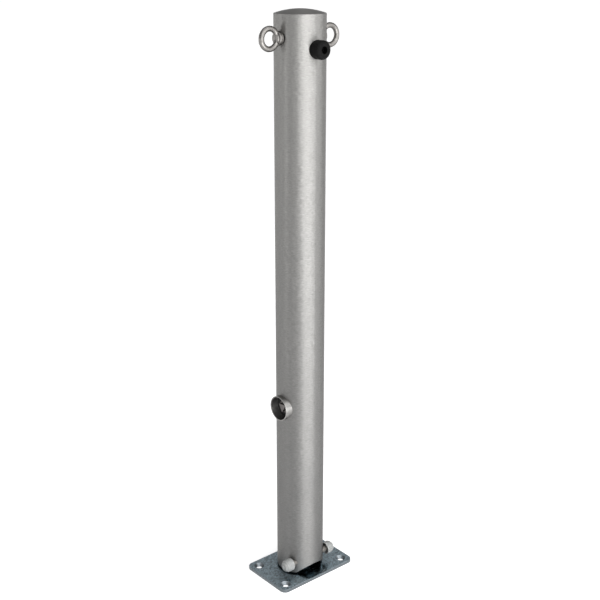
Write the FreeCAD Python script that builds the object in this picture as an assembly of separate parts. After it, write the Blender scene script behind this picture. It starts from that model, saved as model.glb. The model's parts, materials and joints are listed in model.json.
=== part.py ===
import FreeCAD, Part
import math
import os

# Fold-down barrier post. Millimetres, +Z up.
# The origin is on the tube's axis, at the underside of the base plate.
# The hinge lies along X. The post folds towards -Y. The lock faces -X.

Vec = FreeCAD.Vector
ORIGIN = Vec(0, 0, 0)
X_DIR = Vec(1, 0, 0)
Y_DIR = Vec(0, 1, 0)
Z_DIR = Vec(0, 0, 1)
LEFT = -1
RIGHT = 1
FRONT = -1
BACK = 1

# Clearances
FIT = 0.05            # radial air of a pressed, welded or screwed fit
RUN = 0.08            # radial air of a turning fit
SLIDE = 0.3           # radial air round the sliding rod
FACE_GAP = 0.3        # air between flat faces that pass each other

# Post tube
TUBE_OD = 76.1
TUBE_WALL = 2.6
TUBE_TOP = 900.0
FOOT_GAP = 3.0        # air between the plate and the tube's foot
FOOT_CUT_AHEAD = 3.9  # the foot's slant begins this far in front of the hinge axis
FOOT_CUT_ANGLE = 45.0

# Domed cap
DOME_RISE = 6.4
DOME_WALL = 2.5
DOME_SPIGOT = 6.0

# Base plate
PLATE_LENGTH = 150.0
PLATE_WIDTH = 100.0
PLATE_THICK = 5.0
PLATE_CORNER_R = 10.0
PLATE_EDGE_R = 0.5
ANCHOR_EDGE = 15.0    # anchor hole's centre from the plate's edges
ANCHOR_HOLE_D = 9.0
ANCHOR_SINK_D = 16.5
ANCHOR_SINK_ANGLE = 90.0

# Hexagon heads and nuts
HEX_SIDES = 6
HEX_CORNER_SHARE = 1.11  # turned corners over the flats
HEX_FACE_SHARE = 0.95    # flat end face over the flats
HEX_TURN_ANGLE = 30.0
SCREW_KEY_DEPTH_SHARE = 0.6  # depth of the key hole in the height of a screw's head

# Hinge
HINGE_BACKSET = 17.55  # hinge axis behind the tube's front
HINGE_RISE = 20.7     # hinge axis above the plate's top
HINGE_BOLT_D = 10.0
HINGE_BOLT_PROUD = 3.3  # bolt's end past its nut
HINGE_BOLT_CHAMFER = 1.0
HINGE_HEX_AF = 16.0
HINGE_HEAD_H = 6.4
HINGE_NUT_H = 8.4
BUSH_WALL = 1.0
LUG_WIDTH = 15.0
LUG_EYE_WALL = 5.5
LUG_FRONT_BACKSET = 8.0  # front of the lug's web behind the hinge axis
LUG_FLANGE_WIDTH = 36.0
LUG_FLANGE_THICK = 4.0
LUG_EDGE_CHAMFER = 1.0

# Plastic caps on the hinge bolt
BOLT_CAP_AIR = 0.115  # round the hexagon's corners
BOLT_CAP_WALL = 1.1
BOLT_CAP_SKIRT = 1.5  # rim past the bolt's flat seat, toward the tube
BOLT_CAP_OVER = 3.8   # cap's top past the bolt's end
BOLT_CAP_DOME = 7.6

# Lock
LOCK_HEIGHT = 301.0
COLLAR_OD = 40.0
COLLAR_WALL = 1.5
COLLAR_PROUD = 6.65   # collar's mouth in front of the tube
COLLAR_LENGTH = 18.0
COLLAR_EDGE_R = 0.5
BEARING_FLANGE = 4.0
BEARING_HUB_WALL = 3.92
SPINDLE_D = 12.0
SPINDLE_FLANGE_EDGE = 0.9  # shoulder past the key's corners
SPINDLE_FLANGE = 1.7
KEY_SIDE = 16.0       # side of the triangular head
KEY_CORNER_R = 1.2
KEY_LENGTH = 4.5
CRANK_RADIUS = 9.0
CRANK_THICK = 5.0
CRANK_HUB_R = 8.0
CRANK_TIP_WALL = 2.0
CRANK_TURN = 90.0     # turn of the key from open to locked
DRIVE_SQUARE = 8.0
CRANK_PIN_D = 6.0
CRANK_PIN_PROUD = 1.0  # pin's end past the yoke
CRANK_SCREW_D = 5.0
CRANK_SCREW_HEAD_D = 8.5
CRANK_SCREW_HEAD_H = 4.0
CRANK_SCREW_BITE = 11.0  # length in the spindle
CRANK_SCREW_KEY = 3.0
CRANK_SCREW_AIR = 1.4  # between the screw's head and the yoke

# Lock rod, its yoke, guides and socket
ROD_D = 12.0
ROD_TIP_CHAMFER = 2.0
ROD_SPIGOT_D = 8.0
ROD_SPIGOT_LENGTH = 7.0
ROD_TIP_AIR = 1.5     # raised rod's tip above the socket
YOKE_THICK = 10.0
YOKE_SLOT_SIDE_AIR = 0.6
YOKE_SLOT_AIR = 0.45  # above and below the pin
YOKE_SIDE_WALL = 3.0
YOKE_TOP_WALL = 5.0
YOKE_SPIGOT_ROOF = 2.0
YOKE_PIN_D = 3.0
GUIDE_THICK = 5.0
GUIDE_LUG_AIR = 1.95  # between the lower guide's straight edge and the lug
UPPER_GUIDE_DROP = 65.0  # under the lock's axis
SOCKET_AIR = 1.0      # round the rod
SOCKET_WALL = 3.0
SOCKET_FLOOR_AIR = 1.8  # under the lowered rod
SOCKET_CHAMFER = 1.0

# Ring bolts
EYE_DROP = 33.0       # rings' centres under the tube's top
EYE_RING_R = 14.0     # to the middle of the ring's section
EYE_WIRE_D = 8.0
EYE_COLLAR_D = 20.0
EYE_COLLAR_THICK = 5.6
EYE_COLLAR_ROUND = 1.2
EYE_NECK_D = 13.0
EYE_NECK_SHORT = 0.4  # neck's end short of the ring's inside
EYE_NECK_SAG = 0.5    # hollow of the curve from collar to neck
EYE_SHANK_D = 8.0
EYE_SHANK_PROUD = 3.1  # shank's end past the nut
EYE_NUT_AF = 13.0
EYE_NUT_H = 6.5

# Rubber buffer
BUFFER_DROP = 48.0    # buffer's centre under the tube's top
BUFFER_D = 27.0
BUFFER_LENGTH = 15.0
BUFFER_EDGE_R = 4.5
BUFFER_RECESS_AIR = 0.95  # round the screw's head
BUFFER_SOLE = 3.5     # rubber under the screw's head
BUFFER_SCREW_D = 5.0
BUFFER_SCREW_HEAD_D = 8.5
BUFFER_SCREW_HEAD_H = 5.0
BUFFER_SCREW_KEY = 4.0
BUFFER_SCREW_PROUD = 1.2  # screw's end past the nut
BUFFER_WASHER_D = 10.0
BUFFER_WASHER_THICK = 1.0
BUFFER_NUT_AF = 8.0
BUFFER_NUT_H = 4.7


def chord_reach(radius, offset):
    """Distance from a circle's centre line to the circle, at offset to the side."""
    return math.sqrt(radius ** 2 - offset ** 2)


# Worked out from the sizes above
TUBE_R = TUBE_OD / 2
TUBE_INNER_R = TUBE_R - TUBE_WALL
FOOT_Z = PLATE_THICK + FOOT_GAP
HINGE_Y = HINGE_BACKSET - TUBE_R
HINGE_Z = PLATE_THICK + HINGE_RISE
BUSH_OD = HINGE_BOLT_D + 2 * FIT + 2 * BUSH_WALL
LUG_EYE_R = HINGE_BOLT_D / 2 + LUG_EYE_WALL
LUG_FLANGE_TOP = PLATE_THICK + LUG_FLANGE_THICK
BOLT_CAP_INNER_R = HINGE_HEX_AF * HEX_CORNER_SHARE / 2 + BOLT_CAP_AIR
BOLT_CAP_R = BOLT_CAP_INNER_R + BOLT_CAP_WALL
BOLT_CAP_LENGTH = BOLT_CAP_SKIRT + HINGE_NUT_H + HINGE_BOLT_PROUD + BOLT_CAP_OVER
CAP_RIM = chord_reach(TUBE_R, HINGE_Y + BOLT_CAP_R) + FIT
BOLT_SEAT = CAP_RIM + BOLT_CAP_SKIRT
COLLAR_INNER_R = COLLAR_OD / 2 - COLLAR_WALL
COLLAR_MOUTH = -TUBE_R - COLLAR_PROUD
BEARING_FACE = COLLAR_MOUTH + COLLAR_LENGTH - BEARING_FLANGE
CRANK_BACK = -YOKE_THICK / 2 - CRANK_SCREW_AIR - CRANK_SCREW_HEAD_H
CRANK_FACE = CRANK_BACK - CRANK_THICK
HUB_END = CRANK_FACE - FACE_GAP
CRANK_LIFT = CRANK_RADIUS * math.sin(math.radians(CRANK_TURN / 2))
CRANK_SWING = CRANK_RADIUS * math.cos(math.radians(CRANK_TURN / 2))
ROD_Y = (CRANK_RADIUS + CRANK_SWING) / 2
ROD_TRAVEL = 2 * CRANK_LIFT
PIN_REST_Z = LOCK_HEIGHT + CRANK_LIFT
SLOT_HALF_HEIGHT = CRANK_PIN_D / 2 + YOKE_SLOT_AIR
YOKE_FOOT_WALL = ROD_SPIGOT_LENGTH + YOKE_SPIGOT_ROOF
YOKE_BOTTOM = PIN_REST_Z - SLOT_HALF_HEIGHT - YOKE_FOOT_WALL
SOCKET_BORE_R = ROD_D / 2 + SOCKET_AIR
SOCKET_R = SOCKET_BORE_R + SOCKET_WALL
SOCKET_HEIGHT = ROD_TRAVEL - ROD_TIP_AIR + SOCKET_FLOOR_AIR
SOCKET_TOP = PLATE_THICK + SOCKET_HEIGHT
ROD_TIP = SOCKET_TOP + ROD_TIP_AIR
LUG_BACK = ROD_Y - SOCKET_R - 2 * FACE_GAP
EYE_HEIGHT = TUBE_TOP - EYE_DROP
BUFFER_HEIGHT = TUBE_TOP - BUFFER_DROP
EYE_NUT_FACE = chord_reach(TUBE_INNER_R, EYE_NUT_AF / math.sqrt(3)) - FIT
BUFFER_INNER_FACE = -chord_reach(TUBE_INNER_R, BUFFER_WASHER_D / 2) + FIT


def rod(diameter, length, start, direction):
    """Round bar from start along direction."""
    return Part.makeCylinder(diameter / 2, length, start, direction)


def turned(steps, seat, direction):
    """Solid of revolution about direction, from seat.

    steps are corners (radius, height). A pair of corners is an arc: its middle and its end.
    """
    def point(corner):
        return Vec(corner[0], 0, corner[1])

    first = point(steps[0])
    here = first
    edges = []
    for step in steps[1:]:
        if isinstance(step[0], tuple):
            end = point(step[1])
            edges.append(Part.Arc(here, point(step[0]), end).toShape())
        else:
            end = point(step)
            edges.append(Part.makeLine(here, end))
        here = end
    if not here.isEqual(first, FIT / 10):
        edges.append(Part.makeLine(here, first))
    solid = Part.Face(Part.Wire(edges)).revolve(ORIGIN, Z_DIR, 360)
    solid.Placement = FreeCAD.Placement(seat, FreeCAD.Rotation(Z_DIR, direction))
    return solid


def round_corner(radius, height, corner_r):
    """Quarter-round step at an outer top corner, for turned."""
    bend = corner_r * (1 - math.sqrt(0.5))
    return ((radius - bend, height - bend), (radius - corner_r, height))


def hexagon(across_flats, height, seat, direction):
    """Hexagonal prism from seat along direction."""
    corner_r = across_flats / math.sqrt(3)
    corners = []
    for step in range(HEX_SIDES + 1):
        angle = 2 * math.pi * step / HEX_SIDES
        corners.append(Vec(corner_r * math.cos(angle), corner_r * math.sin(angle), 0))
    prism = Part.Face(Part.makePolygon(corners)).extrude(Z_DIR * height)
    prism.Placement = FreeCAD.Placement(seat, FreeCAD.Rotation(Z_DIR, direction))
    return prism


def hex_head(across_flats, height, seat, direction):
    """Hexagon with its outer corners turned down, as on a bolt head or nut."""
    face_r = across_flats * HEX_FACE_SHARE / 2
    corner_r = across_flats * HEX_CORNER_SHARE / 2
    drop = (corner_r - face_r) * math.tan(math.radians(HEX_TURN_ANGLE))
    crown = turned([(0, 0), (corner_r, 0), (corner_r, height - drop), (face_r, height), (0, height)],
                   seat, direction)
    return hexagon(across_flats, height, seat, direction).common(crown)


def nut(across_flats, thread_d, height, seat, direction):
    """Hexagon nut from its seat along direction."""
    body = hex_head(across_flats, height, seat, direction)
    return body.cut(rod(thread_d + 2 * FIT, height, seat, direction))


def socket_screw(thread_d, head_d, head_h, length, key_af, seat, direction):
    """Socket head cap screw; direction runs along the shank from the head's seat."""
    head = rod(head_d, head_h, seat, direction * -1)
    shank = rod(thread_d, length, seat, direction)
    key_depth = head_h * SCREW_KEY_DEPTH_SHARE
    socket = hexagon(key_af, key_depth, seat - direction * head_h, direction)
    return head.fuse(shank).removeSplitter().cut(socket)


def profile_yz(points, start_x, length):
    """Prism along X over a closed outline of (y, z) points."""
    corners = [Vec(start_x, y, z) for y, z in points + points[:1]]
    return Part.Face(Part.makePolygon(corners)).extrude(X_DIR * length)


def base_plate():
    """Galvanised plate with rounded corners and four countersunk holes."""
    corner = Vec(-PLATE_LENGTH / 2, -PLATE_WIDTH / 2, 0)
    plate = Part.makeBox(PLATE_LENGTH, PLATE_WIDTH, PLATE_THICK, corner)
    upright = [edge for edge in plate.Edges if edge.BoundBox.ZLength > PLATE_THICK / 2]
    plate = plate.makeFillet(PLATE_CORNER_R, upright)
    rim = [edge for edge in plate.Edges if edge.BoundBox.ZMin > PLATE_THICK / 2]
    plate = plate.makeFillet(PLATE_EDGE_R, rim)
    sink_depth = (ANCHOR_SINK_D - ANCHOR_HOLE_D) / 2 / math.tan(math.radians(ANCHOR_SINK_ANGLE / 2))
    for side_x in (LEFT, RIGHT):
        for side_y in (FRONT, BACK):
            foot = Vec(side_x * (PLATE_LENGTH / 2 - ANCHOR_EDGE), side_y * (PLATE_WIDTH / 2 - ANCHOR_EDGE), 0)
            hole = turned([(0, 0), (ANCHOR_HOLE_D / 2, 0), (ANCHOR_HOLE_D / 2, PLATE_THICK - sink_depth),
                           (ANCHOR_SINK_D / 2, PLATE_THICK), (0, PLATE_THICK)], foot, Z_DIR)
            plate = plate.cut(hole)
    return plate


def lug_tangent():
    """Point (y, z) on the lug's eye where its straight back edge begins."""
    reach_y = LUG_BACK - HINGE_Y
    reach_z = LUG_FLANGE_TOP - HINGE_Z
    span = math.hypot(reach_y, reach_z)
    touch = math.atan2(reach_z, reach_y) + math.acos(LUG_EYE_R / span)
    return (HINGE_Y + LUG_EYE_R * math.cos(touch), HINGE_Z + LUG_EYE_R * math.sin(touch))


def hinge_lug():
    """Upright lug with a round eye for the hinge bolt, leaning forward from its foot."""
    front = HINGE_Y + LUG_FRONT_BACKSET
    outline = [(front, PLATE_THICK), (front, HINGE_Z), lug_tangent(), (LUG_BACK, LUG_FLANGE_TOP),
               (LUG_BACK, PLATE_THICK)]
    web = profile_yz(outline, -LUG_WIDTH / 2, LUG_WIDTH)
    eye = rod(2 * LUG_EYE_R, LUG_WIDTH, Vec(-LUG_WIDTH / 2, HINGE_Y, HINGE_Z), X_DIR)
    flange = Part.makeBox(LUG_FLANGE_WIDTH, LUG_BACK - front, LUG_FLANGE_THICK,
                          Vec(-LUG_FLANGE_WIDTH / 2, front, PLATE_THICK))
    lug = eye.fuse([web, flange]).removeSplitter()
    ends = [edge for edge in lug.Edges
            if abs(edge.CenterOfMass.x) > LUG_FLANGE_WIDTH / 2 - FIT and edge.BoundBox.ZMin > PLATE_THICK]
    lug = lug.makeChamfer(LUG_EDGE_CHAMFER, ends)
    bore = rod(HINGE_BOLT_D + 2 * RUN, LUG_WIDTH, Vec(-LUG_WIDTH / 2, HINGE_Y, HINGE_Z), X_DIR)
    return lug.cut(bore)


def lock_socket():
    """Short upright ring on the plate that catches the lock rod."""
    return turned([(SOCKET_BORE_R, 0), (SOCKET_R, 0), (SOCKET_R, SOCKET_HEIGHT),
                   (SOCKET_BORE_R + SOCKET_CHAMFER, SOCKET_HEIGHT),
                   (SOCKET_BORE_R, SOCKET_HEIGHT - SOCKET_CHAMFER)],
                  Vec(0, ROD_Y, PLATE_THICK), Z_DIR)


def foot_cut():
    """Wedge taken off the front of the tube's foot, so that the post can fold."""
    start = HINGE_Y - FOOT_CUT_AHEAD
    reach = -TUBE_OD
    rise = (start - reach) * math.tan(math.radians(FOOT_CUT_ANGLE))
    outline = [(start, FOOT_Z), (reach, FOOT_Z + rise), (reach, PLATE_THICK), (start, PLATE_THICK)]
    return profile_yz(outline, -TUBE_R, TUBE_OD)


def post_tube():
    """Round tube with its slanted foot and the holes for what passes through its wall."""
    length = TUBE_TOP - FOOT_Z
    tube = rod(TUBE_OD, length, Vec(0, 0, FOOT_Z), Z_DIR)
    tube = tube.cut(rod(2 * TUBE_INNER_R, length, Vec(0, 0, FOOT_Z), Z_DIR))
    holes = [rod(BUSH_OD + 2 * FIT, TUBE_OD, Vec(-TUBE_R, HINGE_Y, HINGE_Z), X_DIR)]
    holes.append(rod(COLLAR_OD + 2 * FIT, TUBE_R, Vec(-TUBE_R, 0, LOCK_HEIGHT), X_DIR))
    holes.append(rod(EYE_SHANK_D + 2 * FIT, TUBE_OD, Vec(-TUBE_R, 0, EYE_HEIGHT), X_DIR))
    holes.append(rod(BUFFER_SCREW_D + 2 * FIT, TUBE_R, Vec(0, -TUBE_R, BUFFER_HEIGHT), Y_DIR))
    return tube.cut(holes + [foot_cut()])


def dome_point(radius, rise, base=0):
    """Middle of the curve from a dome's rim at height base to its top."""
    sphere_r = (radius ** 2 + rise ** 2) / (2 * rise)
    return (radius / 2, base + chord_reach(sphere_r, radius / 2) - sphere_r + rise)


def top_cap():
    """Shallow domed cap welded on the tube's top, with a spigot inside the tube."""
    spigot_r = TUBE_INNER_R - FIT
    inner_r = spigot_r - DOME_WALL
    inner_rise = DOME_RISE - DOME_WALL
    steps = [(inner_r, 0), (inner_r, -DOME_SPIGOT), (spigot_r, -DOME_SPIGOT), (spigot_r, 0),
             (TUBE_R, 0), (dome_point(TUBE_R, DOME_RISE), (0, DOME_RISE)),
             (0, inner_rise), (dome_point(inner_r, inner_rise), (inner_r, 0))]
    return turned(steps, Vec(0, 0, TUBE_TOP), Z_DIR)


def hinge_bush(side):
    """Sleeve through the tube's wall; its outer end is the bolt's flat seat."""
    inner = LUG_WIDTH / 2 + FACE_GAP
    start = Vec(side * inner, HINGE_Y, HINGE_Z)
    length = BOLT_SEAT - inner
    outside = rod(BUSH_OD, length, start, X_DIR * side)
    return outside.cut(rod(HINGE_BOLT_D + 2 * FIT, length, start, X_DIR * side))


def hinge_bolt():
    """Hexagon bolt through both bushes and the lug, its head on the lock's side."""
    seat = Vec(-BOLT_SEAT, HINGE_Y, HINGE_Z)
    head = hex_head(HINGE_HEX_AF, HINGE_HEAD_H, seat, -X_DIR)
    radius = HINGE_BOLT_D / 2
    length = 2 * BOLT_SEAT + HINGE_NUT_H + HINGE_BOLT_PROUD
    shank = turned([(0, 0), (radius, 0), (radius, length - HINGE_BOLT_CHAMFER),
                    (radius - HINGE_BOLT_CHAMFER, length), (0, length)], seat, X_DIR)
    return head.fuse(shank).removeSplitter()


def hinge_nut():
    return nut(HINGE_HEX_AF, HINGE_BOLT_D, HINGE_NUT_H, Vec(BOLT_SEAT, HINGE_Y, HINGE_Z), X_DIR)


def bolt_cap(side):
    """Thin domed plastic cap pushed over the bolt's head or nut."""
    shoulder = BOLT_CAP_LENGTH - BOLT_CAP_DOME
    inner_rise = BOLT_CAP_DOME - BOLT_CAP_WALL
    steps = [(BOLT_CAP_INNER_R, shoulder), (BOLT_CAP_INNER_R, 0), (BOLT_CAP_R, 0), (BOLT_CAP_R, shoulder),
             (dome_point(BOLT_CAP_R, BOLT_CAP_DOME, shoulder), (0, BOLT_CAP_LENGTH)),
             (0, shoulder + inner_rise),
             (dome_point(BOLT_CAP_INNER_R, inner_rise, shoulder), (BOLT_CAP_INNER_R, shoulder))]
    return turned(steps, Vec(side * CAP_RIM, HINGE_Y, HINGE_Z), X_DIR * side)


def lock_collar():
    """Short tube through the post's wall that guards the key."""
    outer_r = COLLAR_OD / 2
    mouth = Vec(COLLAR_MOUTH, 0, LOCK_HEIGHT)
    ring = turned([(COLLAR_INNER_R, 0), (outer_r, 0), (outer_r, COLLAR_LENGTH),
                   (COLLAR_INNER_R, COLLAR_LENGTH)], mouth, X_DIR)
    rims = [edge for edge in ring.Edges
            if edge.BoundBox.XMax < COLLAR_MOUTH + FIT and edge.BoundBox.YLength > COLLAR_INNER_R]
    return ring.makeFillet(COLLAR_EDGE_R, rims)


def lock_bearing():
    """Turned bearing inside the collar, in which the spindle turns."""
    flange_r = COLLAR_INNER_R - FIT
    bore_r = SPINDLE_D / 2 + RUN
    hub_r = bore_r + BEARING_HUB_WALL
    end = HUB_END - BEARING_FACE
    return turned([(bore_r, 0), (flange_r, 0), (flange_r, BEARING_FLANGE), (hub_r, BEARING_FLANGE),
                   (hub_r, end), (bore_r, end)], Vec(BEARING_FACE, 0, LOCK_HEIGHT), X_DIR)


def key_head(start_x, length):
    """Triangular prism with rounded corners, one corner down."""
    corner_r = KEY_SIDE / math.sqrt(3)
    corners = []
    for step in range(4):
        turn = 2 * math.pi * step / 3
        corners.append(Vec(start_x, corner_r * math.sin(turn), LOCK_HEIGHT - corner_r * math.cos(turn)))
    prism = Part.Face(Part.makePolygon(corners)).extrude(X_DIR * length)
    along = [edge for edge in prism.Edges if edge.BoundBox.XLength > length / 2]
    return prism.makeFillet(KEY_CORNER_R, along)


def lock_spindle():
    """Key spindle: triangular head, shoulder, turned shaft and square drive."""
    flange_start = BEARING_FACE - FACE_GAP - SPINDLE_FLANGE
    head = key_head(flange_start - KEY_LENGTH, KEY_LENGTH)
    flange_d = 2 * (KEY_SIDE / math.sqrt(3) + SPINDLE_FLANGE_EDGE)
    flange = rod(flange_d, SPINDLE_FLANGE, Vec(flange_start, 0, LOCK_HEIGHT), X_DIR)
    shaft_start = flange_start + SPINDLE_FLANGE
    shaft = rod(SPINDLE_D, CRANK_FACE - shaft_start, Vec(shaft_start, 0, LOCK_HEIGHT), X_DIR)
    half = DRIVE_SQUARE / 2
    drive_length = CRANK_THICK - FACE_GAP
    drive = Part.makeBox(drive_length, DRIVE_SQUARE, DRIVE_SQUARE,
                         Vec(CRANK_FACE, -half, LOCK_HEIGHT - half))
    spindle = head.fuse([flange, shaft, drive]).removeSplitter()
    screw_depth = CRANK_THICK + CRANK_SCREW_BITE + CRANK_SCREW_D / 2
    return spindle.cut(rod(CRANK_SCREW_D + 2 * FIT, screw_depth, Vec(CRANK_BACK, 0, LOCK_HEIGHT), -X_DIR))


def lock_crank():
    """Flat crank on the spindle's square, shaped by two round ends and their tangents."""
    tip_r = CRANK_PIN_D / 2 + CRANK_TIP_WALL
    lean = math.acos((CRANK_HUB_R - tip_r) / CRANK_RADIUS)
    start = CRANK_FACE
    centre = Vec(start, 0, LOCK_HEIGHT)
    tip = Vec(start, CRANK_SWING, PIN_REST_Z)
    heading = math.atan2(CRANK_LIFT, CRANK_SWING)

    def rim(middle, radius, angle):
        return middle + Vec(0, radius * math.cos(angle), radius * math.sin(angle))

    outline = [rim(centre, CRANK_HUB_R, heading + lean), rim(tip, tip_r, heading + lean),
               rim(tip, tip_r, heading - lean), rim(centre, CRANK_HUB_R, heading - lean)]
    web = Part.Face(Part.makePolygon(outline + outline[:1])).extrude(X_DIR * CRANK_THICK)
    crank = rod(2 * CRANK_HUB_R, CRANK_THICK, centre, X_DIR)
    crank = crank.fuse([rod(2 * tip_r, CRANK_THICK, tip, X_DIR), web]).removeSplitter()
    half = DRIVE_SQUARE / 2 + FIT
    square = Part.makeBox(CRANK_THICK, 2 * half, 2 * half, Vec(start, -half, LOCK_HEIGHT - half))
    pin_hole = rod(CRANK_PIN_D + 2 * FIT, CRANK_THICK, tip, X_DIR)
    return crank.cut([square, pin_hole])


def crank_pin():
    """Pin in the crank's tip that works in the yoke's slot."""
    length = YOKE_THICK / 2 + CRANK_PIN_PROUD - CRANK_FACE
    return rod(CRANK_PIN_D, length, Vec(CRANK_FACE, CRANK_SWING, PIN_REST_Z), X_DIR)


def crank_screw():
    """Screw that holds the crank on the spindle."""
    return socket_screw(CRANK_SCREW_D, CRANK_SCREW_HEAD_D, CRANK_SCREW_HEAD_H,
                        CRANK_THICK + CRANK_SCREW_BITE, CRANK_SCREW_KEY,
                        Vec(CRANK_BACK, 0, LOCK_HEIGHT), -X_DIR)


def yoke_pin_place():
    """Start of the cross pin through the yoke's foot."""
    return Vec(-YOKE_THICK / 2, ROD_Y, YOKE_BOTTOM + ROD_SPIGOT_LENGTH / 2)


def lock_rod():
    """Long round bolt of the lock, with a spigot at its top and a chamfered tip."""
    radius = ROD_D / 2
    length = YOKE_BOTTOM - ROD_TIP
    spigot_r = ROD_SPIGOT_D / 2
    top = length + ROD_SPIGOT_LENGTH - FACE_GAP
    bar = turned([(0, 0), (radius - ROD_TIP_CHAMFER, 0), (radius, ROD_TIP_CHAMFER), (radius, length),
                  (spigot_r, length), (spigot_r, top), (0, top)], Vec(0, ROD_Y, ROD_TIP), Z_DIR)
    return bar.cut(rod(YOKE_PIN_D + 2 * FIT, YOKE_THICK, yoke_pin_place(), X_DIR))


def rod_yoke():
    """Block at the rod's top with a cross slot for the crank pin."""
    slot_half = (CRANK_RADIUS - CRANK_SWING) / 2 + CRANK_PIN_D / 2 + YOKE_SLOT_SIDE_AIR
    half_width = slot_half + YOKE_SIDE_WALL
    height = YOKE_FOOT_WALL + 2 * SLOT_HALF_HEIGHT + YOKE_TOP_WALL
    start_x = -YOKE_THICK / 2
    block = Part.makeBox(YOKE_THICK, 2 * half_width, height, Vec(start_x, ROD_Y - half_width, YOKE_BOTTOM))
    slot = Part.makeBox(YOKE_THICK, 2 * slot_half, 2 * SLOT_HALF_HEIGHT,
                        Vec(start_x, ROD_Y - slot_half, PIN_REST_Z - SLOT_HALF_HEIGHT))
    spigot_hole = rod(ROD_SPIGOT_D + 2 * FIT, ROD_SPIGOT_LENGTH, Vec(0, ROD_Y, YOKE_BOTTOM), Z_DIR)
    pin_hole = rod(YOKE_PIN_D + 2 * FIT, YOKE_THICK, yoke_pin_place(), X_DIR)
    return block.cut([slot, spigot_hole, pin_hole])


def yoke_pin():
    return rod(YOKE_PIN_D, YOKE_THICK, yoke_pin_place(), X_DIR)


def rod_guide(bottom, front):
    """Disc across the tube's inside with a bore for the rod, cut straight at front ahead of its centre."""
    radius = TUBE_INNER_R - FIT
    disc = rod(2 * radius, GUIDE_THICK, Vec(0, 0, bottom), Z_DIR)
    if front < radius:
        keep = Part.makeBox(2 * radius, front + radius, GUIDE_THICK, Vec(-radius, -front, bottom))
        disc = disc.common(keep)
    return disc.cut(rod(ROD_D + 2 * SLIDE, GUIDE_THICK, Vec(0, ROD_Y, bottom), Z_DIR))


def upper_guide():
    return rod_guide(LOCK_HEIGHT - UPPER_GUIDE_DROP, TUBE_INNER_R)


def lower_guide():
    """Also the upright stop: it comes to rest on the socket's top. Its front clears the lug."""
    bottom = SOCKET_TOP + FACE_GAP
    eye_y, eye_z = lug_tangent()
    rise_share = (bottom - LUG_FLANGE_TOP) / (eye_z - LUG_FLANGE_TOP)
    lug_y = LUG_BACK + rise_share * (eye_y - LUG_BACK)
    return rod_guide(bottom, -lug_y - GUIDE_LUG_AIR)


def eye_bolt(side):
    """Ring bolt: ring in the upright plane through both ring bolts, on a round collar."""
    seat = Vec(side * TUBE_R, 0, EYE_HEIGHT)
    out = X_DIR * side
    ring_centre = seat + out * (EYE_RING_R + EYE_WIRE_D / 2)
    ring = Part.makeTorus(EYE_RING_R, EYE_WIRE_D / 2, ring_centre, Y_DIR)
    collar_r = EYE_COLLAR_D / 2
    neck_r = EYE_NECK_D / 2
    shoulder_r = collar_r - EYE_COLLAR_ROUND
    neck_top = EYE_WIRE_D - EYE_NECK_SHORT
    sag = ((shoulder_r + neck_r) / 2 - EYE_NECK_SAG, (EYE_COLLAR_THICK + neck_top) / 2 - EYE_NECK_SAG)
    collar = turned([(0, 0), (collar_r, 0), (collar_r, EYE_COLLAR_THICK - EYE_COLLAR_ROUND),
                     round_corner(collar_r, EYE_COLLAR_THICK, EYE_COLLAR_ROUND),
                     (sag, (neck_r, neck_top)), (0, neck_top)], seat, out)
    shank_length = TUBE_R - EYE_NUT_FACE + EYE_NUT_H + EYE_SHANK_PROUD
    shank = rod(EYE_SHANK_D, shank_length, seat, out * -1)
    return collar.fuse([ring, shank]).removeSplitter()


def eye_nut(side):
    """Nut inside the tube, its corners against the wall."""
    return nut(EYE_NUT_AF, EYE_SHANK_D, EYE_NUT_H, Vec(side * EYE_NUT_FACE, 0, EYE_HEIGHT), X_DIR * -side)


def buffer_pad():
    """Rubber cylinder with a rounded front edge, its back following the tube."""
    radius = BUFFER_D / 2
    depth = TUBE_R + BUFFER_LENGTH
    recess_r = BUFFER_SCREW_HEAD_D / 2 + BUFFER_RECESS_AIR
    floor = TUBE_R + BUFFER_SOLE
    hole_r = BUFFER_SCREW_D / 2 + FIT
    back = chord_reach(TUBE_R, radius) - TUBE_WALL
    pad = turned([(hole_r, back), (radius, back), (radius, depth - BUFFER_EDGE_R),
                  round_corner(radius, depth, BUFFER_EDGE_R), (recess_r, depth), (recess_r, floor),
                  (hole_r, floor)], Vec(0, 0, BUFFER_HEIGHT), -Y_DIR)
    tube_side = rod(TUBE_OD + 2 * FIT, 2 * BUFFER_D, Vec(0, 0, BUFFER_HEIGHT - BUFFER_D), Z_DIR)
    return pad.cut(tube_side)


def buffer_screw():
    head_seat = -TUBE_R - BUFFER_SOLE
    end = BUFFER_INNER_FACE + BUFFER_WASHER_THICK + BUFFER_NUT_H + BUFFER_SCREW_PROUD
    return socket_screw(BUFFER_SCREW_D, BUFFER_SCREW_HEAD_D, BUFFER_SCREW_HEAD_H, end - head_seat,
                        BUFFER_SCREW_KEY, Vec(0, head_seat, BUFFER_HEIGHT), Y_DIR)


def buffer_washer():
    start = Vec(0, BUFFER_INNER_FACE, BUFFER_HEIGHT)
    washer = rod(BUFFER_WASHER_D, BUFFER_WASHER_THICK, start, Y_DIR)
    return washer.cut(rod(BUFFER_SCREW_D + 2 * FIT, BUFFER_WASHER_THICK, start, Y_DIR))


def buffer_nut():
    seat = Vec(0, BUFFER_INNER_FACE + BUFFER_WASHER_THICK, BUFFER_HEIGHT)
    return nut(BUFFER_NUT_AF, BUFFER_SCREW_D, BUFFER_NUT_H, seat, Y_DIR)


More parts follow.
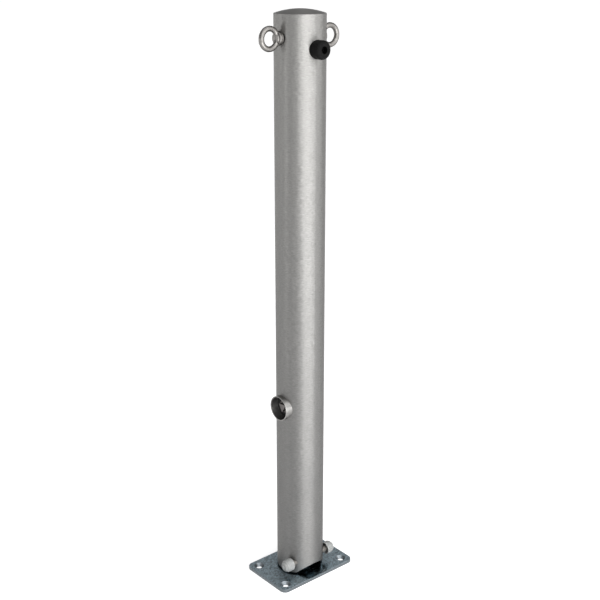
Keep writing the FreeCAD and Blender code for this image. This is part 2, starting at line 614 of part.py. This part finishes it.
def build():
    """Every piece of the post by name."""
    return {
        "base_plate": base_plate(),
        "hinge_lug": hinge_lug(),
        "lock_socket": lock_socket(),
        "post_tube": post_tube(),
        "top_cap": top_cap(),
        "hinge_bush_left": hinge_bush(LEFT),
        "hinge_bush_right": hinge_bush(RIGHT),
        "hinge_bolt": hinge_bolt(),
        "hinge_nut": hinge_nut(),
        "bolt_cap_left": bolt_cap(LEFT),
        "bolt_cap_right": bolt_cap(RIGHT),
        "lock_collar": lock_collar(),
        "lock_bearing": lock_bearing(),
        "lock_spindle": lock_spindle(),
        "lock_crank": lock_crank(),
        "crank_pin": crank_pin(),
        "crank_screw": crank_screw(),
        "lock_rod": lock_rod(),
        "rod_yoke": rod_yoke(),
        "yoke_pin": yoke_pin(),
        "upper_guide": upper_guide(),
        "lower_guide": lower_guide(),
        "eye_bolt_left": eye_bolt(LEFT),
        "eye_bolt_right": eye_bolt(RIGHT),
        "eye_nut_left": eye_nut(LEFT),
        "eye_nut_right": eye_nut(RIGHT),
        "buffer_pad": buffer_pad(),
        "buffer_screw": buffer_screw(),
        "buffer_washer": buffer_washer(),
        "buffer_nut": buffer_nut(),
    }


os.makedirs("parts", exist_ok=True)
for node, shape in build().items():
    shape.exportStep("parts/" + node + ".step")
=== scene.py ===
import json
import math

import bmesh
import bpy
from mathutils import Matrix, Vector


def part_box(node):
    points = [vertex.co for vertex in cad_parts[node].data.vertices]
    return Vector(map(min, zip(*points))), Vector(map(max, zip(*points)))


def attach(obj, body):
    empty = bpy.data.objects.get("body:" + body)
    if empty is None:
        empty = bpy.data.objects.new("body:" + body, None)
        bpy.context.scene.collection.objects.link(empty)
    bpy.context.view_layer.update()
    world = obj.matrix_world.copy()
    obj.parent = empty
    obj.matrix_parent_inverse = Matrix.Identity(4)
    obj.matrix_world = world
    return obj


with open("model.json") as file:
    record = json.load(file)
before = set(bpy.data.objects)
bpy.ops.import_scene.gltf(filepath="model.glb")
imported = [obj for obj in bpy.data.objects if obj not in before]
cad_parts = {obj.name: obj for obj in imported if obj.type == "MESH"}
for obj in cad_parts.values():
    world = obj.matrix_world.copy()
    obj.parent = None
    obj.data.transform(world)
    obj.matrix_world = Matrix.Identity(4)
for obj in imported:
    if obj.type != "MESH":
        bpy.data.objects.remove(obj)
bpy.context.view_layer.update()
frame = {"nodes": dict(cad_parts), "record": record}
scene = bpy.context.scene

# Camera, fitted to the photo
CAMERA_AZIMUTH = math.radians(-40.1)
CAMERA_ELEVATION = math.radians(18.71)
CAMERA_DISTANCE = 1.60663
CAMERA_TARGET = Vector((0, 0, 0.4715))
CAMERA_SHIFT = -0.0001
LENS = 62.36
SENSOR = 36.0
CLIP_NEAR = 0.05
CLIP_FAR = 200


def away(azimuth, elevation):
    """Unit vector that points away from the post, from angles in radians; azimuth 0 is in front."""
    return Vector((math.sin(azimuth) * math.cos(elevation),
                   -math.cos(azimuth) * math.cos(elevation),
                   math.sin(elevation)))


back = away(CAMERA_AZIMUTH, CAMERA_ELEVATION)
right = Vector((math.cos(CAMERA_AZIMUTH), math.sin(CAMERA_AZIMUTH), 0))
up = back.cross(right)
camera = bpy.data.objects.new("camera", bpy.data.cameras.new("camera"))
camera.data.lens = LENS
camera.data.sensor_width = SENSOR
camera.data.shift_x = CAMERA_SHIFT
camera.data.clip_start = CLIP_NEAR
camera.data.clip_end = CLIP_FAR
turned = Matrix((right, up, back)).transposed().to_4x4()
camera.matrix_world = Matrix.Translation(CAMERA_TARGET + back * CAMERA_DISTANCE) @ turned
scene.collection.objects.link(camera)
scene.camera = camera
scene.view_settings.view_transform = "Standard"

# Node helpers
NOISE_LOW = 0.3     # a noise pattern mostly stays between these two
NOISE_HIGH = 0.7


class Graph:
    """Node tree of a material or a world, with short calls to add and link nodes."""

    def __init__(self, owner):
        owner.use_nodes = True
        self.tree = owner.node_tree
        self.tree.nodes.clear()

    def add(self, kind, settings=None, **values):
        """Adds a node. settings are its own properties, values its sockets by name."""
        node = self.tree.nodes.new(kind)
        for name, value in (settings or {}).items():
            setattr(node, name, value)
        for name, value in values.items():
            self.put(node.inputs[name.replace("_", " ")], value)
        return node

    def put(self, socket, value):
        """Sets a socket to a value, or links an output to it."""
        if isinstance(value, bpy.types.NodeSocket):
            self.tree.links.new(value, socket)
        else:
            socket.default_value = value

    def math(self, operation, first, second=0.0):
        node = self.add("ShaderNodeMath", {"operation": operation})
        self.put(node.inputs[0], first)
        self.put(node.inputs[1], second)
        return node.outputs[0]

    def vector(self, operation, first, second=None):
        """Vector maths. A length or a distance comes out as a number."""
        node = self.add("ShaderNodeVectorMath", {"operation": operation})
        self.put(node.inputs[0], first)
        if second is not None:
            self.put(node.inputs["Scale" if operation == "SCALE" else 1], second)
        return node.outputs["Value" if operation in ("LENGTH", "DISTANCE") else "Vector"]

    def remap(self, value, low, high, to_low, to_high):
        node = self.add("ShaderNodeMapRange")
        for socket, given in zip(node.inputs, (value, low, high, to_low, to_high)):
            self.put(socket, given)
        return node.outputs[0]

    def share(self, value, low, high):
        """0 where the value is low, 1 where it is high, rising evenly in between."""
        return self.remap(value, low, high, 0.0, 1.0)

    def spread(self, pattern, to_low, to_high):
        """Stretches a noise pattern over a range."""
        return self.remap(pattern, NOISE_LOW, NOISE_HIGH, to_low, to_high)

    def average(self, first, second, weight):
        """Mean of two patterns; weight is that of the first."""
        return self.math("ADD", self.math("MULTIPLY", first, weight),
                         self.math("MULTIPLY", second, 1.0 - weight))

    def mix(self, share, first, second, blend="MIX"):
        node = self.add("ShaderNodeMix", {"data_type": "RGBA", "blend_type": blend})
        self.put(node.inputs[0], share)
        self.put(node.inputs[6], first)
        self.put(node.inputs[7], second)
        return node.outputs[2]

    def noise(self, place, scale, detail=2.0, roughness=0.5):
        node = self.add("ShaderNodeTexNoise", Vector=place, Scale=scale, Detail=detail,
                        Roughness=roughness)
        return node.outputs["Fac"]

    def coordinates(self, kind):
        return self.add("ShaderNodeTexCoord").outputs[kind]

    def place(self, scale=(1.0, 1.0, 1.0)):
        """Object coordinates in metres, scaled along each axis."""
        mapping = self.add("ShaderNodeMapping", Vector=self.coordinates("Object"), Scale=scale)
        return mapping.outputs["Vector"]

    def along(self, vector, axis):
        """One part of a vector; axis is X, Y or Z."""
        return self.add("ShaderNodeSeparateXYZ", Vector=vector).outputs[axis]

    def radial_tangent(self, axis):
        """Direction of lines that run round an axis through the origin."""
        return self.add("ShaderNodeTangent", {"direction_type": "RADIAL", "axis": axis}).outputs[0]

    def tilted(self, direction, amount):
        """Surface normal leaned along direction by amount."""
        normal = self.add("ShaderNodeNewGeometry").outputs["Normal"]
        lean = self.vector("SCALE", direction, amount)
        return self.vector("NORMALIZE", self.vector("ADD", normal, lean))

    def bump(self, height, distance, strength, normal=None):
        node = self.add("ShaderNodeBump", Height=height, Distance=distance, Strength=strength)
        if normal is not None:
            self.put(node.inputs["Normal"], normal)
        return node.outputs["Normal"]

    def surface(self, shader):
        output = self.add("ShaderNodeOutputMaterial")
        self.put(output.inputs["Surface"], shader.outputs[0])

    def principled(self, **values):
        self.surface(self.add("ShaderNodeBsdfPrincipled", **values))


def new_material(name):
    material = bpy.data.materials.new(name)
    return material, Graph(material)


def grey(level, tint=(1.0, 1.0, 1.0)):
    return tuple(level * channel for channel in tint) + (1.0,)


def tones(level, tint):
    """Function that turns a share of the level into a tinted colour."""
    return lambda share: grey(level * share, tint)


# Materials. Lengths are in metres, noise scales in cells per metre.
STEEL_TINT = (1.0, 0.985, 0.955)
WARM_TINT = (1.0, 0.96, 0.92)
GALVANISED_TINT = (0.72, 0.90, 1.0)
FROST_TINT = (0.84, 0.93, 1.0)
FOOT_SHADE_TINT = (0.98, 0.995, 1.02)
PLASTIC_TINT = (0.98, 1.0, 0.99)
PLASTIC_RING_TINT = (0.97, 1.0, 0.99)
EDGE_TINT = (0.72, 0.72, 0.72, 1.0)     # of metal seen at a grazing angle

ACROSS_GROOVES = 0.25       # turn of the highlight, so that it is drawn out across the grooves
WAVE = 0.29                 # unevenness of the brushed rows
CLOUD_SCALE = (9.0, 9.0, 5.0)
CLOUD_SHARE = 0.35
FOOT_SHADE_LEVEL = 0.50           # steel's brightness under the full painted shade
FOOT_SHADE = 0.88            # share of painted shade at the foot
FOOT_SHADE_TOP = 0.9              # height where it ends
FOOT_SHADE_SCALE = (30.0, 30.0, 12.0)
FOOT_SHADE_PATCHES = (0.75, 0.95)             # share of it in thin and in thick patches
UNDERSIDE_SHADE_LEVEL = 0.5       # steel's brightness in the painted shade under the ring bolts
UNDERSIDE_SHADE_FACING = -0.8            # upward part of the normal where that is full
SHELTERS = (                # centre, radius of bright zinc, radius where the frost is full
    ((0.0, -0.030, 0.0), 0.022, 0.034),
    ((0.0, 0.0, 0.0), 0.039, 0.042),
)
FROST_SHARE = 0.25          # of the frost's paler colour
FROST_ROUGHNESS = 0.3       # added to the bright zinc's
SPANGLE_SCALE = 420.0
SPANGLE_WARP = 0.006
SPANGLE_LEAN = 0.03
PLATE_RIM = 0.00495         # height where the plate's darker side faces begin
PLATE_EDGE = 0.0048         # and where it is full
ANCHOR_PLACE = (0.060, 0.035, 0.0)      # of one anchor hole; the others mirror it
ANCHOR_SINK_R = 0.0083
RING_PITCH = 0.0027         # moulding rings of the plastic caps
RING_WANDER = 9.0           # radians
PLASTIC_DEPTH = 0.005       # that light reaches in the caps

# Bores painted darker than the outside, as painted shade: axis, a place on it, radius with a little to
# spare
TUBE_BORE_SHADE = ("Z", (0.0, 0.0, 0.0), 0.0356)
COLLAR_BORE_SHADE = ("X", (0.0, 0.0, 0.301), 0.0186)
BUFFER_HOLE_SHADE = ("Y", (0.0, 0.0, 0.852), 0.0054)
MASK_EDGE = 0.998           # share of a mask's radius where it is full


def within(graph, axis, centre, radius, place=None):
    """1 nearer than radius to a line along an axis through centre, 0 outside it."""
    if place is None:
        place = graph.place()
    across = [0.0 if letter == axis else 1.0 for letter in "XYZ"]
    flat = graph.vector("MULTIPLY", graph.vector("SUBTRACT", place, centre), across)
    return graph.share(graph.vector("LENGTH", flat), radius, radius * MASK_EDGE)


def foot_painted_shade(graph):
    """Share of painted shade, more of it toward the foot, in patches."""
    fade = graph.remap(graph.along(graph.place(), "Z"), 0.0, FOOT_SHADE_TOP, FOOT_SHADE, 0.0)
    patches = graph.noise(graph.place(FOOT_SHADE_SCALE), scale=1.0, detail=4.0, roughness=0.6)
    return graph.math("MULTIPLY", fade, graph.spread(patches, *FOOT_SHADE_PATCHES))


def brushed_steel(name, level, bore, bore_shade_level, rough, anisotropic=0.8):
    """Stainless steel tube brushed round its axis; its bore is painted darker, as painted shade."""
    material, graph = new_material(name)
    axis = bore[0]
    tone = tones(level, STEEL_TINT)

    def grooves(round_scale, along_scale):
        scale = [along_scale if letter == axis else round_scale for letter in "XYZ"]
        return graph.noise(graph.place(scale), scale=1.0, detail=3.0, roughness=0.6)

    fine = grooves(round_scale=160.0, along_scale=4200.0)
    dashes = grooves(round_scale=210.0, along_scale=1100.0)
    rows = grooves(round_scale=150.0, along_scale=1300.0)
    cloud = graph.noise(graph.place(CLOUD_SCALE), scale=1.0, detail=3.0)
    grain = graph.average(fine, dashes, weight=0.35)
    colour = graph.mix(graph.share(grain, low=0.34, high=0.66), tone(0.82), tone(1.14))
    colour = graph.mix(graph.spread(cloud, 0.0, CLOUD_SHARE), colour, tone(0.94))
    if axis == "Z":
        # painted shade: the tube darker toward its foot
        colour = graph.mix(foot_painted_shade(graph), colour, grey(FOOT_SHADE_LEVEL, FOOT_SHADE_TINT), "MULTIPLY")
    # painted shade: the bore darker than the outside
    colour = graph.mix(within(graph, *bore), colour, tone(bore_shade_level))
    tangent = graph.radial_tangent(axis)
    wavy = graph.tilted(tangent, graph.remap(rows, 0.0, 1.0, -WAVE, WAVE))
    graph.principled(
        Base_Color=colour, Metallic=1.0, Specular_Tint=EDGE_TINT,
        Roughness=graph.spread(grain, rough + 0.06, rough - 0.06),
        Anisotropic=anisotropic, Anisotropic_Rotation=ACROSS_GROOVES, Tangent=tangent,
        Normal=graph.bump(grain, distance=0.0005, strength=0.4, normal=wavy))
    return material


def turned_steel(name, level, rough):
    """Stainless steel with turning rings about the upright axis."""
    material, graph = new_material(name)
    tone = tones(level, STEEL_TINT)
    place = graph.place()
    squares = [graph.math("POWER", graph.along(place, axis), 2.0) for axis in "XY"]
    radius = graph.math("SQRT", graph.math("ADD", *squares))
    ring_place = graph.add("ShaderNodeCombineXYZ", X=radius).outputs[0]
    rings = graph.noise(ring_place, scale=900.0, detail=3.0, roughness=0.6)
    broad = graph.noise(ring_place, scale=160.0, detail=1.0)
    grain = graph.average(rings, broad, weight=0.5)
    colour = graph.mix(graph.share(grain, low=0.35, high=0.65), tone(0.88), tone(1.08))
    graph.principled(
        Base_Color=colour, Metallic=1.0,
        Roughness=graph.spread(grain, rough + 0.05, rough - 0.05),
        Anisotropic=0.5, Anisotropic_Rotation=ACROSS_GROOVES, Tangent=graph.radial_tangent("Z"),
        Normal=graph.bump(grain, distance=0.0002, strength=0.5))
    return material


def polished_steel(name, level, rough):
    """Cast and tumbled stainless steel, softly uneven, with painted shade on its undersides."""
    material, graph = new_material(name)
    tone = tones(level, WARM_TINT)
    soft = graph.noise(graph.place(), scale=260.0, detail=3.0)
    pits = graph.noise(graph.place(), scale=1500.0)
    colour = graph.mix(graph.share(soft, low=0.35, high=0.65), tone(0.88), tone(1.05))
    facing = graph.along(graph.coordinates("Normal"), "Z")
    # painted shade: darker where the surface faces down
    colour = graph.mix(graph.share(facing, 0.0, UNDERSIDE_SHADE_FACING), colour, tone(UNDERSIDE_SHADE_LEVEL))
    graph.principled(
        Base_Color=colour, Metallic=1.0, Specular_Tint=EDGE_TINT,
        Roughness=graph.spread(pits, rough - 0.05, rough + 0.08),
        Normal=graph.bump(soft, distance=0.0006, strength=0.25))
    return material


def sheltered(graph):
    """1 on the plate under the tube and its slanted foot, where the zinc is bright, 0 elsewhere."""
    flat = graph.place((1.0, 1.0, 0.0))
    shares = [graph.share(graph.vector("DISTANCE", flat, centre), frosted, bright)
              for centre, bright, frosted in SHELTERS]
    return graph.math("MAXIMUM", *shares)


def anchor_sinks(graph):
    """1 in the four countersunk anchor holes, 0 elsewhere."""
    mirrored = graph.vector("ABSOLUTE", graph.place())
    return within(graph, "Z", ANCHOR_PLACE, ANCHOR_SINK_R, mirrored)


def galvanised(name, level, rough):
    """Hot-dip galvanised steel: fine bright crystals, frosted in patches, its side faces darker."""
    material, graph = new_material(name)
    zinc = tones(level, GALVANISED_TINT)
    frosted = tones(level, FROST_TINT)
    place = graph.place()
    warp = graph.noise(place, scale=240.0)
    shift = graph.add("ShaderNodeCombineXYZ", X=warp, Y=warp, Z=warp).outputs[0]
    warped = graph.mix(SPANGLE_WARP, place, shift, "ADD")
    cells = graph.add("ShaderNodeTexVoronoi", Vector=warped, Scale=SPANGLE_SCALE, Randomness=1.0)
    flake = graph.add("ShaderNodeSeparateColor", Color=cells.outputs["Color"]).outputs[0]
    small = graph.noise(place, scale=900.0, detail=4.0, roughness=0.7)
    crystal = graph.average(flake, small, weight=0.5)
    patches = graph.share(graph.noise(place, scale=55.0, detail=3.0), low=0.3, high=0.42)
    frost = graph.math("MULTIPLY", patches, graph.math("SUBTRACT", 1.0, sheltered(graph)))
    sinks = anchor_sinks(graph)
    colour = graph.mix(graph.share(crystal, low=0.2, high=0.8), zinc(0.46), zinc(1.5))
    colour = graph.mix(graph.math("MULTIPLY", frost, FROST_SHARE), colour, frosted(1.0))
    side_faces = graph.share(graph.along(place, "Z"), PLATE_RIM, PLATE_EDGE)
    # the plate's side faces darker
    colour = graph.mix(side_faces, colour, frosted(0.3))
    colour = graph.mix(sinks, colour, frosted(0.48))
    lean = graph.vector("SUBTRACT", cells.outputs["Color"], (0.5, 0.5, 0.5))
    glossy = graph.remap(crystal, 0.1, 0.9, rough + 0.06, rough - 0.04)
    dull = graph.math("MULTIPLY", graph.math("MAXIMUM", frost, sinks), FROST_ROUGHNESS)
    graph.principled(
        Base_Color=colour, Metallic=1.0, Specular_Tint=EDGE_TINT,
        Roughness=graph.math("ADD", glossy, dull),
        Normal=graph.bump(crystal, distance=0.0004, strength=0.3,
                          normal=graph.tilted(lean, SPANGLE_LEAN)))
    return material


def zinc_plate(name, level, tint=(0.98, 1.0, 1.0), rough=0.38):
    """Dull zinc-plated steel with fine machining grain."""
    material, graph = new_material(name)
    tone = tones(level, tint)
    grain = graph.noise(graph.place(), scale=1400.0, detail=3.0)
    cloud = graph.noise(graph.place(), scale=120.0)
    graph.principled(
        Base_Color=graph.mix(graph.spread(cloud, 0.0, 1.0), tone(0.88), tone(1.1)), Metallic=1.0,
        Roughness=graph.spread(grain, rough - 0.06, rough + 0.08),
        Normal=graph.bump(grain, distance=0.0002, strength=0.3))
    return material


def cap_plastic(name, level):
    """Pale moulded plastic with faint rings about the hinge bolt's axis."""
    material, graph = new_material(name)
    tone = tones(level, PLASTIC_TINT)
    place = graph.place()
    wander = graph.math("MULTIPLY", graph.noise(place, scale=60.0, detail=1.0), RING_WANDER)
    phase = graph.math("MULTIPLY", graph.along(place, "X"), math.tau / RING_PITCH)
    rings = graph.math("SINE", graph.math("ADD", phase, wander))
    mottle = graph.noise(place, scale=420.0, detail=3.0)
    colour = graph.mix(graph.spread(mottle, 0.0, 1.0), tone(0.93), tone(1.03))
    ring_tone = grey(level * 0.7, PLASTIC_RING_TINT)
    colour = graph.mix(graph.share(rings, low=0.2, high=0.8), colour, ring_tone)
    graph.principled(
        Base_Color=colour, Roughness=graph.spread(mottle, 0.36, 0.5),
        Subsurface_Weight=0.5, Subsurface_Radius=(1.0, 1.0, 1.0), Subsurface_Scale=PLASTIC_DEPTH,
        Normal=graph.bump(rings, distance=0.0001, strength=0.3))
    return material


def rubber(name, level, bore):
    """Moulded black rubber, slightly dusty, its screw hole painted near black, as painted shade."""
    material, graph = new_material(name)
    grain = graph.noise(graph.place(), scale=1800.0, detail=3.0)
    dust = graph.noise(graph.place(), scale=140.0, detail=3.0)
    hole = within(graph, *bore)
    colour = graph.mix(graph.share(dust, low=0.4, high=0.75), grey(level), grey(level * 1.8))
    # painted shade: the screw hole near black
    colour = graph.mix(hole, colour, grey(level * 0.1))
    graph.principled(
        Base_Color=colour, Specular_IOR_Level=0.1,
        Roughness=graph.math("MAXIMUM", graph.spread(dust, 0.5, 0.68), hole),
        Normal=graph.bump(grain, distance=0.00015, strength=0.4))
    return material


zinc_coat = galvanised("galvanised_spangle", 0.66, rough=0.11)
# painted shade: the hinge bushes darker, standing in for the shade between the caps and the tube
bush_painted_shade = zinc_plate("bush_steel_painted_shade", 0.18, tint=(1.0, 0.94, 0.88), rough=0.45)

FINISHES = {
    "galvanised": zinc_coat,
    "brushed_stainless": brushed_steel("tube_brushed_steel", 0.366, TUBE_BORE_SHADE, 0.12, rough=0.42,
                                       anisotropic=0.95),
    "polished_stainless": polished_steel("ring_polished_steel", 0.28, rough=0.24),
    "zinc_steel": zinc_plate("zinc_plated_steel", 0.3, tint=(1.0, 0.96, 0.93)),
    "black_steel": zinc_plate("black_oxide_steel", 0.012, rough=0.55),
    "cap_plastic": cap_plastic("pale_cap_plastic", 0.38),
    "black_rubber": rubber("black_buffer_rubber", 0.004, BUFFER_HOLE_SHADE),
}
OWN_FINISHES = {
    "top_cap": turned_steel("cap_turned_steel", 0.395, rough=0.36),
    "lock_collar": brushed_steel("collar_brushed_steel", 0.34, COLLAR_BORE_SHADE, 0.7, rough=0.36),
    # painted shade: the lock's bearing and spindle darker, standing in for the shade inside the collar
    "lock_bearing": zinc_plate("bearing_steel_painted_shade", 0.07, tint=(0.95, 1.0, 1.0), rough=0.4),
    "lock_spindle": zinc_plate("spindle_steel_painted_shade", 0.16, tint=(1.0, 0.93, 0.9), rough=0.45),
    # painted shade: the hinge lug darker, standing in for the shade under the tube's foot
    "hinge_lug": zinc_plate("lug_zinc_painted_shade", 0.09, tint=(0.8, 0.93, 1.0), rough=0.42),
    "hinge_bush_left": bush_painted_shade,
    "hinge_bush_right": bush_painted_shade,
}
for part in frame["record"]["subparts"]:
    mesh = frame["nodes"][part["node"]].data
    mesh.materials.clear()
    mesh.materials.append(OWN_FINISHES.get(part["node"], FINISHES[part["material_slot"]]))


# Welds on the base plate, seen when the post is folded down
WELD_SIZE = 0.0021
WELD_RIPPLE = 0.07          # of the weld's size
WELD_RIPPLE_PITCH = 0.0013
WELD_SINK = 0.0003          # how far its root lies inside the metal
WELD_END = 0.45             # size of its ends, of the weld's size
WELD_END_GROWTH = 12.0      # growth from there, of the weld's size per whole run
SECTION_STEPS = 7
LUG_WELD_STEPS = 60
LUG_FRONT = -0.0125
SOCKET_WELD_STEPS = 300
SOCKET_WELD_GAP = 30        # degrees left open on each side of the lug


def weld_bead(name, path, outward):
    """Fillet weld with ripples, along a path where a wall stands on the plate; outward leaves the wall."""
    mesh = bpy.data.meshes.new(name)
    shape = bmesh.new()
    sections = []
    run = 0.0
    last = len(path) - 1
    for step, (point, out) in enumerate(zip(path, outward)):
        run += (point - path[max(step - 1, 0)]).length
        taper = min(1.0, WELD_END + WELD_END_GROWTH * min(step, last - step) / last)
        size = WELD_SIZE * taper * (1 + WELD_RIPPLE * math.sin(math.tau * run / WELD_RIPPLE_PITCH))
        ring = [shape.verts.new(point - out * WELD_SINK - Vector((0, 0, WELD_SINK)))]
        for turn in range(SECTION_STEPS):
            angle = math.radians(90 * turn / (SECTION_STEPS - 1))
            rise = size * math.sin(angle) - (WELD_SINK if turn == 0 else 0)
            reach = size * math.cos(angle) - (WELD_SINK if turn == SECTION_STEPS - 1 else 0)
            ring.append(shape.verts.new(point + out * reach + Vector((0, 0, rise))))
        sections.append(ring)
    for first, second in zip(sections, sections[1:]):
        for here in range(len(first)):
            there = (here + 1) % len(first)
            shape.faces.new((first[here], first[there], second[there], second[here]))
    shape.faces.new(sections[0][::-1])
    shape.faces.new(sections[-1])
    bmesh.ops.recalc_face_normals(shape, faces=shape.faces)
    shape.to_mesh(mesh)
    shape.free()
    mesh.shade_smooth()
    mesh.materials.append(zinc_coat)
    bead = bpy.data.objects.new(name, mesh)
    scene.collection.objects.link(bead)
    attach(bead, "base")


plate_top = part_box("base_plate")[1][2]
lug_low, lug_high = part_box("hinge_lug")
for side, edge in (("left", lug_low[0]), ("right", lug_high[0])):
    out = Vector((math.copysign(1.0, edge), 0, 0))
    path = [Vector((edge, LUG_FRONT + (lug_high[1] - LUG_FRONT) * step / LUG_WELD_STEPS, plate_top))
            for step in range(LUG_WELD_STEPS + 1)]
    weld_bead("lug_weld_" + side, path, [out] * len(path))
socket_low, socket_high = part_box("lock_socket")
socket_radius = (socket_high[0] - socket_low[0]) / 2
socket_centre = Vector((0, socket_high[1] - socket_radius, plate_top))
angles = [math.radians(-90 + SOCKET_WELD_GAP + (360 - 2 * SOCKET_WELD_GAP) * step / SOCKET_WELD_STEPS)
          for step in range(SOCKET_WELD_STEPS + 1)]
outward = [Vector((math.cos(angle), math.sin(angle), 0)) for angle in angles]
weld_bead("socket_weld", [socket_centre + out * socket_radius for out in outward], outward)


# Studio
FLOOR_HALF = 120.0
FLOOR_DROP = 0.0004
FLOOR_WHITE = 0.80
FLOOR_LIFT = 0.57       # makes the floor as white as the background
SKY_LEVEL = 0.24
HORIZON_LEVEL = 0.76    # added to the sky's level from the horizon's low edge down
HORIZON_LOW = 0.06      # both edges as the sine of their elevation
HORIZON_HIGH = 0.18


def seen_directly(graph):
    """1 for the camera, for mirrored and for refracted rays, 0 for the light that falls on a surface."""
    path = graph.add("ShaderNodeLightPath")
    shown = graph.math("MAXIMUM", path.outputs["Is Camera Ray"], path.outputs["Is Glossy Ray"])
    return graph.math("MAXIMUM", shown, path.outputs["Is Transmission Ray"])


floor_mesh = bpy.data.meshes.new("floor")
corners = [(x * FLOOR_HALF, y * FLOOR_HALF, -FLOOR_DROP) for x, y in ((-1, -1), (1, -1), (1, 1), (-1, 1))]
floor_mesh.from_pydata(corners, [], [(0, 1, 2, 3)])
floor = bpy.data.objects.new("floor", floor_mesh)
scene.collection.objects.link(floor)
floor_material, floor_graph = new_material("pale_floor")
pale = floor_graph.add("ShaderNodeBsdfDiffuse", Color=grey(FLOOR_WHITE))
glow = floor_graph.math("MULTIPLY", seen_directly(floor_graph), FLOOR_LIFT)
lift = floor_graph.add("ShaderNodeEmission", Color=grey(1.0), Strength=glow)
both = floor_graph.add("ShaderNodeAddShader")
floor_graph.put(both.inputs[0], pale.outputs[0])
floor_graph.put(both.inputs[1], lift.outputs[0])
floor_graph.surface(both)
floor_mesh.materials.append(floor_material)

world = bpy.data.worlds.new("studio")
scene.world = world
world_graph = Graph(world)
rise = world_graph.along(world_graph.coordinates("Generated"), "Z")
horizon = world_graph.math("MULTIPLY", seen_directly(world_graph),
                           world_graph.remap(rise, HORIZON_LOW, HORIZON_HIGH, HORIZON_LEVEL, 0.0))
sky = world_graph.add("ShaderNodeBackground", Color=grey(1.0),
                      Strength=world_graph.math("ADD", SKY_LEVEL, horizon))
world_output = world_graph.add("ShaderNodeOutputWorld")
world_graph.put(world_output.inputs["Surface"], sky.outputs[0])

SUN_DISTANCE = 3.0
SUN = ("overhead_sun", -5, 60, 80, 1.3)     # azimuth, elevation, spread in degrees, irradiance
SOFTBOXES = (
    # azimuth, elevation in degrees, distance, height it is aimed at, width, height, radiance
    ("front_softbox", -11, 23, 2.2, 0.5, 3.1, 1.9, 1.53),
    ("low_softbox", -4, 8, 1.3, 0.1, 1.3, 0.5, 3.6),
    ("side_softbox", 48, 20, 2.2, 0.5, 1.6, 1.9, 1.0),
    ("left_strip", -104, 20, 1.6, 0.5, 0.16, 1.7, 1.2),
    ("back_strip", -138, 25, 1.6, 0.9, 0.14, 0.9, 1.8),
    ("far_strip", -176, 25, 1.6, 1.0, 0.3, 0.5, 1.2),
)


def hang(name, data, azimuth, elevation, distance, target_height):
    """Hangs a lamp round the post and aims it at a height on the post's axis."""
    lamp = bpy.data.objects.new(name, data)
    off = away(math.radians(azimuth), math.radians(elevation))
    lamp.location = Vector((0, 0, target_height)) + off * distance
    lamp.rotation_euler = off.to_track_quat("Z", "Y").to_euler()
    scene.collection.objects.link(lamp)
    return lamp


def soft_sun(name, azimuth, elevation, spread, irradiance):
    data = bpy.data.lights.new(name, "SUN")
    data.energy = irradiance
    data.angle = math.radians(spread)
    hang(name, data, azimuth, elevation, SUN_DISTANCE, 0)


def softbox(name, azimuth, elevation, distance, target_height, width, height, radiance):
    """Rectangular lamp of an even radiance, hidden from the camera."""
    data = bpy.data.lights.new(name, "AREA")
    data.shape = "RECTANGLE"
    data.size = width
    data.size_y = height
    data.energy = radiance * math.pi * width * height
    hang(name, data, azimuth, elevation, distance, target_height).visible_camera = False


soft_sun(*SUN)
for lamp_values in SOFTBOXES:
    softbox(*lamp_values)
